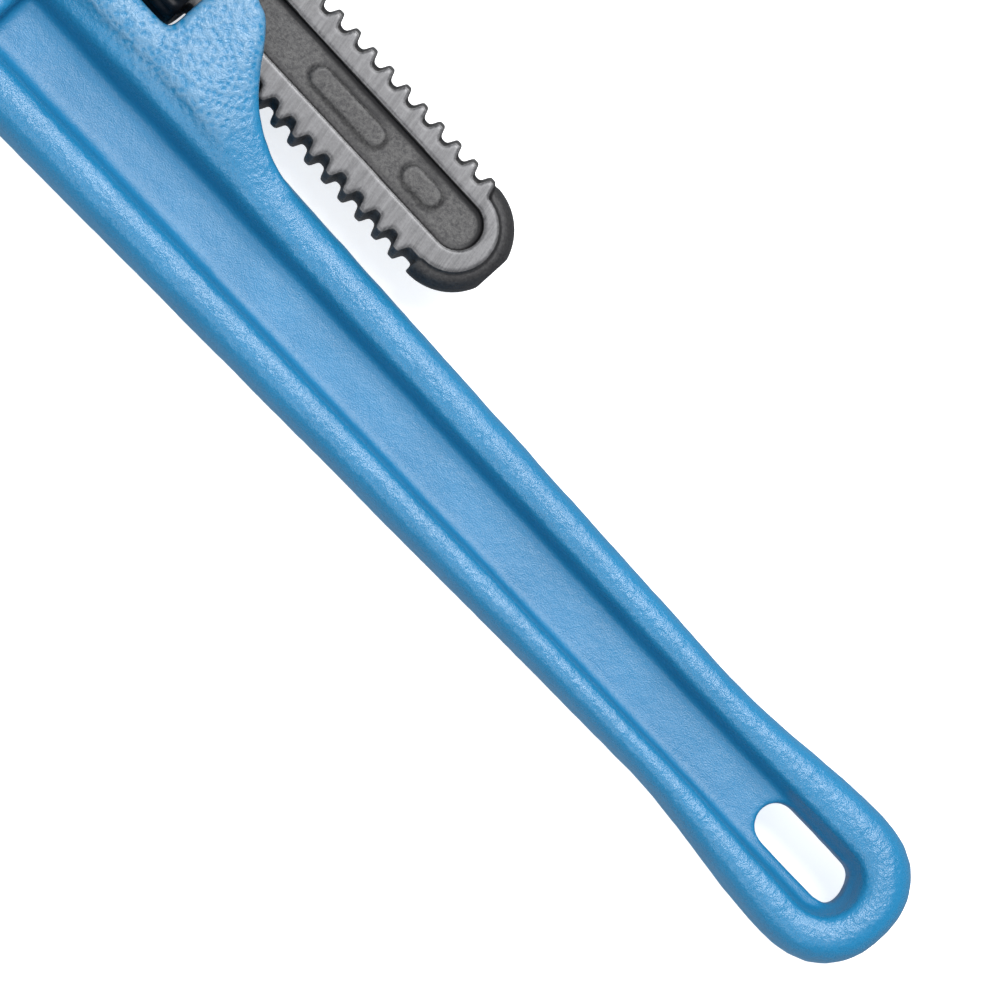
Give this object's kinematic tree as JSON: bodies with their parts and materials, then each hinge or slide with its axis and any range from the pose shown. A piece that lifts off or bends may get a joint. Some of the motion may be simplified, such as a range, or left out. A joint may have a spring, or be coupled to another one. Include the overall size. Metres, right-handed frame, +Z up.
{
  "type": "pipe wrench",
  "caption": "Straight pipe wrench: painted I-beam handle with a hanging slot, integral housing, toothed heel jaw, threaded hook jaw and a knurled adjusting nut.",
  "frame": {"origin": "under the middle of the bounding box, on the surface that the wrench lies on", "axes": "+X along the handle towards the jaws, +Y towards the side that the jaws open to, +Z up, square to the flat sides of the handle"},
  "size_m": [0.2968, 0.0725, 0.0294],
  "materials": {
    "handle": "semi-gloss blue paint on a rough casting",
    "heel_jaw": "hardened, dark as forged",
    "heel_jaw_pin": "plain steel",
    "hook_jaw": "dark forged steel with ground flats",
    "adjusting_nut": "black oxide",
    "coil_spring": "spring steel",
    "flat_spring": "spring steel",
    "spring_rivet": "plain steel"
  },
  "bodies": {
    "handle_body": {"handle": "handle", "heel_jaw": "heel_jaw", "heel_jaw_pin": "heel_jaw_pin", "coil_spring": "coil_spring", "spring_rivet": "spring_rivet"},
    "cradle": {"flat_spring": "flat_spring"},
    "hook_jaw": {"hook_jaw": "hook_jaw"},
    "adjusting_nut": {"adjusting_nut": "adjusting_nut"}
  },
  "joints": [
    {"name": "jaw_rock", "type": "hinge", "parent": "handle_body", "child": "cradle", "pos_m": [0.06875, -0.01526, 0.0147], "axis": [0, 0, 1], "range_deg": [-1.5, 2], "stiffness_Nm_per_rad": 8, "deforming": ["flat_spring", "coil_spring"]},
    {"name": "jaw_slide", "type": "slide", "parent": "cradle", "child": "hook_jaw", "axis": [0.9997, -0.0236, 0], "range_m": [-0.0105, 0.048]},
    {"name": "nut_spin", "type": "hinge", "parent": "cradle", "child": "adjusting_nut", "pos_m": [0.06875, -0.01526, 0.0147], "axis": [-0.9997, 0.0236, 0], "range_deg": [-841, 3841]}
  ],
  "couplings": [
    {"joint": "nut_spin", "follows": "jaw_slide", "rad_per_m": 1396.3}
  ]
}
